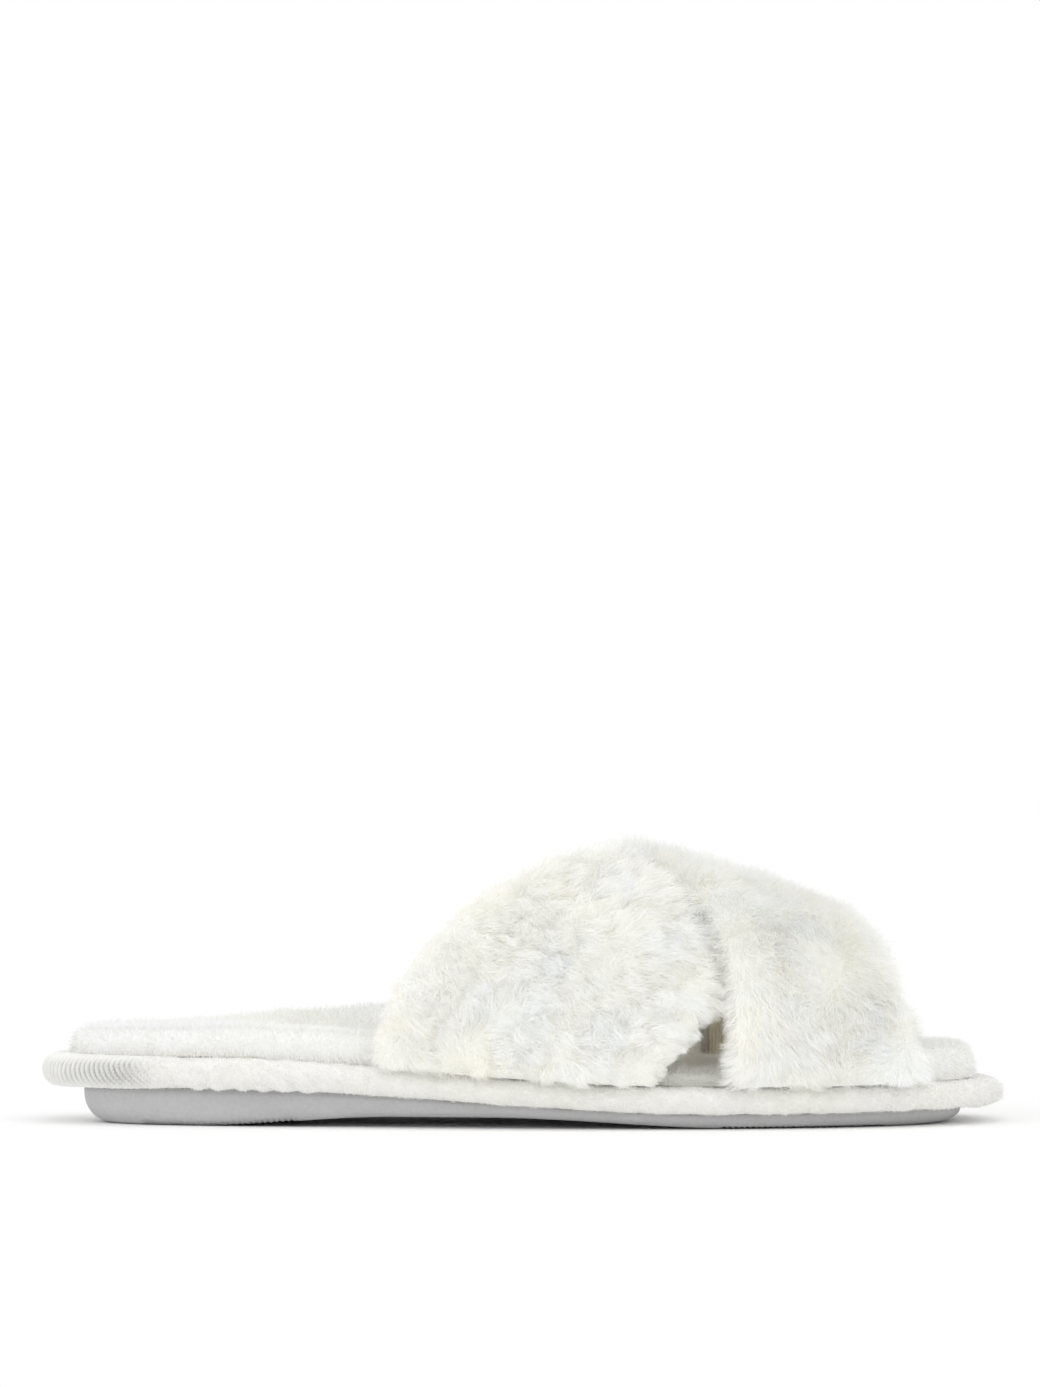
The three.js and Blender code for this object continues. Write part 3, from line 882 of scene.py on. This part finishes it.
def grow_plush(grid):
    """Dense short fibres over the sock, stroked this way and that, and hanging down at its edge."""
    rng = np.random.default_rng(33)
    spots = Scatter(grid, PLUSH_PILE["density"], rng)
    roots = spots.at(grid)
    normals = unit(spots.at(upward_normals(grid)))
    waves = ((46.0, 34), (38.0, 35), (30.0, 36))
    stroke = np.stack([ripple(roots, wavelength, seed) for wavelength, seed in waves], axis=-1)
    comb = unit(np.array([0.9, 0.1, 0.0]) + 0.7 * stroke)
    tufts = Tufts(roots[:, :2], PLUSH_PILE["tuft"], rng)
    noise = rng.normal(size=roots.shape)
    start = unit(normals + 0.2 * comb + 0.2 * noise)
    end = unit(0.75 * normals + 0.55 * comb + 0.25 * noise + 0.2 * tufts.character[:, :3])
    low = 1 - smoothstep(roots[:, 2:] - rim_top(roots[:, :1]), 1.5, 5.0)
    down = np.array([0.0, 0.0, -1.0])
    start = unit(start + 0.6 * low * down)
    end = unit(end + 1.4 * low * down)
    length = PLUSH_PILE["length"] * rng.uniform(0.75, 1.15, (len(roots), 1)) * lerp(1.0, 1.45, low)
    pull = 0.25 * np.concatenate([tufts.pull, 0 * tufts.pull[:, :1]], axis=-1)
    width, curl = PLUSH_PILE["width"], PLUSH_PILE["curl"]
    points, along = fibre_points(roots, normals, start, end, length, width, pull, curl, rng, rows=2)
    fibres = rest_on_rim(points, roots, above=0.0, uneven=0.4, give=1.0), along
    tint = np.clip(0.5 + 0.12 * tufts.character[:, 3] + 0.16 * ripple(roots, 55.0, seed=37), 0, 1)
    grow("sock_pile", fibres, tint, "sock_plush", PLUSH, ["plush_sock"], ["heel", "toe"])


def upward_normals(grid):
    """Normals of sections that run from the outer side over the top, pointing up in the middle."""
    normals = grid_normals(grid)
    return normals * np.sign(normals[len(grid) // 2, grid.shape[1] // 2, 2])


# ---- Straps ----


def instep_height(x):
    """Height of the arch's crown at x, level at the heel end and sloping down towards the toes."""
    bend = INSTEP["bend"]
    bent = np.log1p(np.exp((x - INSTEP["bend_x"]) / bend))
    return INSTEP["height"] - INSTEP["slope"] * bend * bent


def arch_point(x, t):
    """A point on the straps' inner face, at x and at a share t of the way over the foot."""
    reach = HALF_LENGTH - STRAP_INSET
    taper = (1 - np.abs(x / reach) ** OUTLINE_POWER) ** (1 / OUTLINE_POWER)
    across = (half_width(x) - STRAP_INSET) * taper
    seat = rim_top(x) + STRAP_SEAT
    y = middle_line(x) - across * signed_power(np.cos(math.pi * t), 2 / ARCH_POWER)
    z = seat + (instep_height(x) - seat) * signed_power(np.sin(math.pi * t), 2 / ARCH_POWER)
    return np.stack([x, y, z], axis=-1)


def strap_frame(x, t):
    """The face's point, its directions along x and over the foot, and its outward normal."""
    along_x = unit(arch_point(x + 0.5, t) - arch_point(x - 0.5, t))
    along_t = unit(arch_point(x, t + 0.002) - arch_point(x, t - 0.002))
    return arch_point(x, t), along_x, along_t, unit(np.cross(along_x, along_t))


def edge_x(edge, t):
    """Where a strap's edge lies along x, at a share t of the way over the foot."""
    start, end, lead, trail = edge
    return lerp(start, end, 1 - (1 - t**lead) ** trail)


def depth_inside(strap, x, t):
    """How far a place lies inside a strap's footprint, along x."""
    return np.minimum(x - edge_x(strap["rear"], t), edge_x(strap["front"], t) - x)


def lift(strap, x, t):
    """How far a strap is raised by the other one under it."""
    if strap is UNDER:
        return np.zeros_like(x)
    return STRAP_LIFT * smoothstep(depth_inside(UNDER, x, t), *STRAP_LIFT_RUN)


def pressing(strap, x, t):
    """1 where the other strap lies on this one, and 0 in the open."""
    if strap is OVER:
        return np.zeros_like(x)
    return smoothstep(depth_inside(OVER, x, t), *STRAP_PRESS_RUN)


def strap_rows(count):
    """Shares of the way over the foot, closer together at both ends."""
    share = np.linspace(0, 1, count)
    return share - 0.6 * np.sin(2 * math.pi * share) / (2 * math.pi)


def strap_body(strap, columns, heights):
    """Points of a strap's layer, and their x and t.

    A column is (inset, middle): how far it lies in from the edges, and where it lies between
    them, from 0 at the rear edge to 1 at the front one. heights(x, t) gives the height over the
    strap's inner face.
    """
    t = strap_rows(STRAP_ROWS)[:, None]
    inset = np.array([column[0] for column in columns])[None, :]
    middle = np.array([column[1] for column in columns])[None, :]
    x = lerp(edge_x(strap["rear"], t) + inset, edge_x(strap["front"], t) - inset, middle)
    t = np.broadcast_to(t, x.shape)
    point, _, _, normal = strap_frame(x, t)
    height = lift(strap, x, t) + heights(x, t)
    return point + normal * height[..., None], x, t


def fur_section(strap):
    """Columns of the fur's section, from under the rear edge over the top to under the front edge.

    Each comes with its height: below 0 under the edge's widest point, and 1 on the crown.
    """
    angles = np.linspace(0, math.pi / 2, 9)
    inset = strap["edge"]
    under = [(inset + FUR_TUCK * (1 - math.cos(a)), -math.sin(a)) for a in angles[:0:-2]]
    over = [(inset + FUR_ROUND * (1 - math.cos(a)), math.sin(a)) for a in angles]
    edge = under + over
    rear = [((place, 0.0), share) for place, share in edge]
    middle = [((inset + FUR_ROUND, m), 1.0) for m in np.linspace(0, 1, 30)[1:-1]]
    front = [((place, 1.0), share) for place, share in reversed(edge)]
    return rear + middle + front


def fur_grid(strap):
    """The undercoat's outer face, with its coordinates x and t."""
    section = fur_section(strap)
    share = np.array([height for _, height in section])[None, :]

    def heights(x, t):
        pressed = pressing(strap, x, t)
        crown = lerp(strap["top"] - PILE_DEPTH, FUR_PRESSED - 0.5, pressed)
        place = arch_point(x, t)
        lumps = 0.55 * ripple(place, 30.0, seed=41) + strap["ruffle"] * ripple(place, 11.0, seed=42)
        if strap is UNDER:
            lumps = lumps + FUR_SWELL * smoothstep(depth_inside(OVER, x, t), *FUR_SWELL_RUN)
        crown = crown + lumps * (1 - pressed)
        end = np.minimum(t, 1 - t) * FUR_ARC
        bulge = np.sqrt(1 - (1 - np.clip(end / FUR_END_ROUND, 0, 1)) ** 2)
        upper = FUR_SIDE + (crown - FUR_SIDE) * share * lerp(0.2, 1.0, bulge)
        lower = FUR_SIDE + (FUR_SIDE - FUR_UNDER) * share
        return np.where(share > 0, upper, lower)

    return strap_body(strap, [column for column, _ in section], heights)


def flat_layer(strap, inset, middles, height):
    """A face of a strap's layer, at one height all over, with its x and t."""
    columns = [(inset, middle) for middle in middles]
    return strap_body(strap, columns, lambda x, t: np.full_like(x, height))


def make_fur(strap):
    name = strap["name"]
    grid, x, t = fur_grid(strap)
    nodes = [f"{name}_fur"]
    inset = strap["edge"] + FUR_TUCK + 0.2
    bottom = flat_layer(strap, inset, np.linspace(1, 0, grid.shape[1]), FUR_BACKING)[0]
    sections = np.concatenate([grid, bottom], axis=1)
    loft(f"{name}_fur_undercoat", sections, "strap_fur", FUR_UNDERCOAT, nodes)
    grow_fur(strap, grid, x, t, nodes)


def grow_fur(strap, grid, x_grid, t_grid, nodes):
    """The long pile: leaning, gathered into tufts, and fanned out over the strap's edges."""
    rng = np.random.default_rng(51 if strap is UNDER else 52)
    spots = Scatter(grid, PILE_DENSITY, rng)
    x, t = spots.at(x_grid[..., None])[:, 0], spots.at(t_grid[..., None])[:, 0]
    seen = np.flatnonzero(pressing(strap, x, t) < 0.93)
    order = seen[np.argsort(t[seen], kind="stable")]
    roots = spots.at(grid)[order]
    normals = unit(spots.at(-grid_normals(grid)))[order]
    x, t = x[order], t[order]
    _, along_x, along_t, face = strap_frame(x, t)
    arc = STRAP_ARC * t
    tufts = Tufts(np.stack([x, arc], axis=-1), strap["tuft"], rng)
    comb_x, comb_t = strap["comb"]
    wander = 0.45 * ripple(roots, 26.0, seed=53)[:, None]
    if strap is OVER:
        rear = edge_x(strap["rear"], t)
        outer_foot = smoothstep(arc, 60, 25)
        comb_x = comb_x - 0.9 * (smoothstep(x, rear + 14, rear) * outer_foot)[:, None]
    comb = unit((comb_x + wander) * along_x + (comb_t - wander) * along_t)
    lean = tufts.character[:, :1] * along_x + tufts.character[:, 1:2] * along_t
    noise = rng.normal(size=roots.shape)
    start = unit(normals + 0.4 * comb + 0.3 * lean * strap["ruffle"] + 0.25 * noise)
    end = unit(0.24 * normals + 0.8 * comb + 0.75 * strap["ruffle"] * lean + strap["stray"] * noise)
    pressed = pressing(strap, x, t)[:, None]
    over_edge = smoothstep(np.sum(normals * face, axis=-1), 0.95, 0.3)[:, None]
    start = unit(start + 0.5 * over_edge * normals)
    size = 1 + 0.14 * tufts.character[:, 2:3] + rng.uniform(-0.2, 0.2, (len(roots), 1))
    length = PILE_LENGTH * size * lerp(1.0, 0.55, pressed) * lerp(1.0, 0.7, over_edge)
    if strap is UNDER:
        front = edge_x(strap["front"], t)
        corner = smoothstep(x, front - 14, front) * smoothstep(arc, 34, 14)
        length = length * lerp(1.0, 0.5, corner[:, None])
    pull = strap["clump"] * (tufts.pull[:, :1] * along_x + tufts.pull[:, 1:] * along_t)
    width, curl = PILE_WIDTH, PILE_CURL
    points, along = fibre_points(roots, normals, start, end, length, width, pull, curl, rng, rows=3)
    fibres = rest_on_rim(points, roots, above=-0.2, uneven=0.8, give=2.6), along
    streaks = 0.16 * ripple(roots, 24.0, seed=54)
    specks = 0.1 * ripple(roots, 7.0, seed=55)
    tint = np.clip(strap["warmth"] + (0.14 * tufts.character[:, 3] + streaks + specks), 0, 1)
    parts = ["outer_end", "outer_side", "crown", "inner_side", "inner_end"]
    grow(f"{strap['name']}_pile", fibres, tint, "strap_fur", FUR, nodes, parts)


def rest_on_rim(points, roots, above, uneven, give):
    """Bends up the fibres that would hang below the top of the rim.

    They stop at `above` its height, more or less by `uneven`, and start to bend `give` over that.
    """
    wave = ripple(roots, 5.0, seed=56) + 0.8 * ripple(roots, 13.0, seed=57)
    low = rim_top(points[..., 0]) + (above + uneven * wave)[:, None]
    sunk = low + give * np.exp(np.minimum(points[..., 2] - low - give, 0) / give)
    points[..., 2] = np.where(points[..., 2] < low + give, sunk, points[..., 2])
    return points


def make_layer(strap, kind, low, high, material, slot):
    """A flat layer inside a strap: its lining or its wadding."""
    middles = np.linspace(0, 1, 31)
    below, x, t = flat_layer(strap, FUR_OVERHANG, middles, low)
    above = flat_layer(strap, FUR_OVERHANG, middles[::-1], high)[0]
    sections = np.concatenate([below, above], axis=1)
    uv = np.stack([x, STRAP_ARC * t], axis=-1)
    uv = np.concatenate([uv, uv[:, ::-1]], axis=1)
    name = f"{strap['name']}_{kind}"
    return loft(f"{name}_cloth", sections, slot, material, [name], uv, "Knit")


# ---- Thread ----


def yarn(name, path, radius, pitch, closed, node):
    """A two-ply thread laid along a path."""
    steps = np.linalg.norm(np.diff(path, axis=0), axis=1)
    run = np.concatenate([[0], np.cumsum(steps)])
    count = int(run[-1] / YARN_STEP)
    turns = round(run[-1] / pitch)
    spots = np.linspace(0, run[-1], count, endpoint=not closed)
    line = np.stack([np.interp(spots, run, path[:, k]) for k in range(3)], axis=-1)
    if closed:
        ahead = unit(np.roll(line, -1, axis=0) - np.roll(line, 1, axis=0))
    else:
        ahead = unit(np.gradient(line, axis=0))
    side = unit(np.cross(ahead, np.array([0.0, 0.3, 1.0])))
    up = np.cross(side, ahead)
    twist = 2 * math.pi * turns * spots / run[-1]
    points, faces = [], []
    for ply in range(2):
        angle = (twist + ply * math.pi)[:, None]
        centre = line + 0.5 * radius * (np.cos(angle) * side + np.sin(angle) * up)
        around = np.linspace(0, 2 * math.pi, YARN_SIDES + 1)[:-1][None, :, None]
        outward = np.cos(around) * side[:, None] + np.sin(around) * up[:, None]
        points.append((centre[:, None] + 0.55 * radius * outward).reshape(-1, 3))
        first = ply * count * YARN_SIDES
        faces.append(grid_faces(count, YARN_SIDES, loop_rows=closed, loop_columns=True) + first)
        if not closed:
            for start, flip in ((0, 1), ((count - 1) * YARN_SIDES, -1)):
                cap = (np.arange(YARN_SIDES) + start + first)[::flip]
                faces.append(cap[[[0, 1, 2, 3], [0, 3, 4, 5]]])
    new_piece(name, np.concatenate(points), faces, "sewing_thread", THREAD, [node])


def make_sock_seam():
    half = even_angles(STATIONS)
    angles = np.concatenate([half, 2 * math.pi - half[-2::-1]])
    path = ring(angles, 8.4, 8.4, lambda x, y: rim_top(x) + GAP + 0.4)
    yarn("sock_seam_thread", path, radius=0.4, pitch=1.6, closed=True, node="sock_seam")


def make_edge_seam(strap, where, direction):
    """The thread where the fur meets the lining. direction is 1 in front and -1 at the rear."""
    t = strap_rows(260)
    x = edge_x(strap[where], t) - direction * (FUR_OVERHANG - 0.85)
    point, _, _, normal = strap_frame(x, t)
    path = point + normal * (lift(strap, x, t) + 2.15)[:, None]
    name = f"{strap['name']}_{where}_seam"
    yarn(f"{name}_thread", path, radius=0.42, pitch=1.7, closed=False, node=name)


# ---- Stage ----


def make_stage():
    """A round white floor, just under the slipper. Its lengths are in metres."""
    rings, spokes, reach, height = 40, 96, 4.0, -0.00005
    radius = reach * (np.linspace(0, 1, rings) ** 2)[:, None]
    angle = np.linspace(0, 2 * math.pi, spokes + 1)[:-1][None, :]
    level = np.full((rings, spokes), height)
    points = np.stack([radius * np.cos(angle), radius * np.sin(angle), level], axis=-1)
    faces = grid_faces(rings, spokes, loop_columns=True)
    mesh = bpy.data.meshes.new("floor")
    mesh.from_pydata(points.reshape(-1, 3).tolist(), [], faces.tolist())
    look = Look("pale_floor", roughness=0.9, specular=0.1)
    stops = [(0.3, (0.985, 0.985, 0.985, 1)), (0.7, (1.0, 1.0, 1.0, 1))]
    look.colour(look.ramp(look.noise(3.0), stops))
    mesh.materials.append(look.material)
    floor = bpy.data.objects.new("floor", mesh)
    bpy.context.scene.collection.objects.link(floor)
    weld(floor)


def make_light():
    """Even white surroundings, and two softboxes."""
    world = bpy.data.worlds.new("studio")
    world.use_nodes = True
    nodes, links = world.node_tree.nodes, world.node_tree.links
    seen = nodes.new("ShaderNodeLightPath").outputs["Is Camera Ray"]
    strength = nodes.new("ShaderNodeMapRange")
    links.new(seen, strength.inputs["Value"])
    strength.inputs["To Min"].default_value = WORLD_LIGHT
    strength.inputs["To Max"].default_value = WORLD_SEEN
    links.new(strength.outputs[0], nodes["Background"].inputs["Strength"])
    nodes["Background"].inputs["Color"].default_value = (1.0, 1.0, 1.0, 1.0)
    bpy.context.scene.world = world
    for name, energy, spread, direction in SOFTBOXES:
        sun = bpy.data.lights.new(name, "SUN")
        sun.energy = energy
        sun.angle = math.radians(spread)
        lamp = bpy.data.objects.new(name, sun)
        bpy.context.scene.collection.objects.link(lamp)
        lamp.rotation_mode = "QUATERNION"
        lamp.rotation_quaternion = Vector(direction).to_track_quat("Z", "Y")
    bpy.context.scene.view_settings.view_transform = "Standard"
    bpy.context.scene.cycles.max_bounces = LIGHT_BOUNCES
    bpy.context.scene.cycles.diffuse_bounces = DIFFUSE_BOUNCES


def make_camera():
    """A level camera that gives the side view its perspective. Its lengths are in metres."""
    distance, aside, height, frame_height = 2.0, -0.0007, 0.1185, 0.3853
    camera = bpy.data.cameras.new("camera")
    camera.sensor_width = 36.0
    camera.lens = camera.sensor_width * distance / frame_height
    eye = bpy.data.objects.new("camera", camera)
    bpy.context.scene.collection.objects.link(eye)
    eye.location = (aside, -distance, height)
    eye.rotation_euler = (math.pi / 2, 0.0, 0.0)
    bpy.context.scene.camera = eye


# ---- Assembly ----

make_outsole()
make_rim()
make_platform()
make_foam_pad()
make_sock()
make_sock_seam()
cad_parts["insole_board"].data.materials.clear()
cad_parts["insole_board"].data.materials.append(BOARD)

for strap in (UNDER, OVER):
    make_layer(strap, "lining", *LINING, KNIT, "strap_lining")
    make_layer(strap, "wadding", *WADDING, WADDING_LOOK, "strap_wadding")
    make_fur(strap)
    make_edge_seam(strap, "rear", -1)
    make_edge_seam(strap, "front", 1)

make_stage()
make_light()
make_camera()
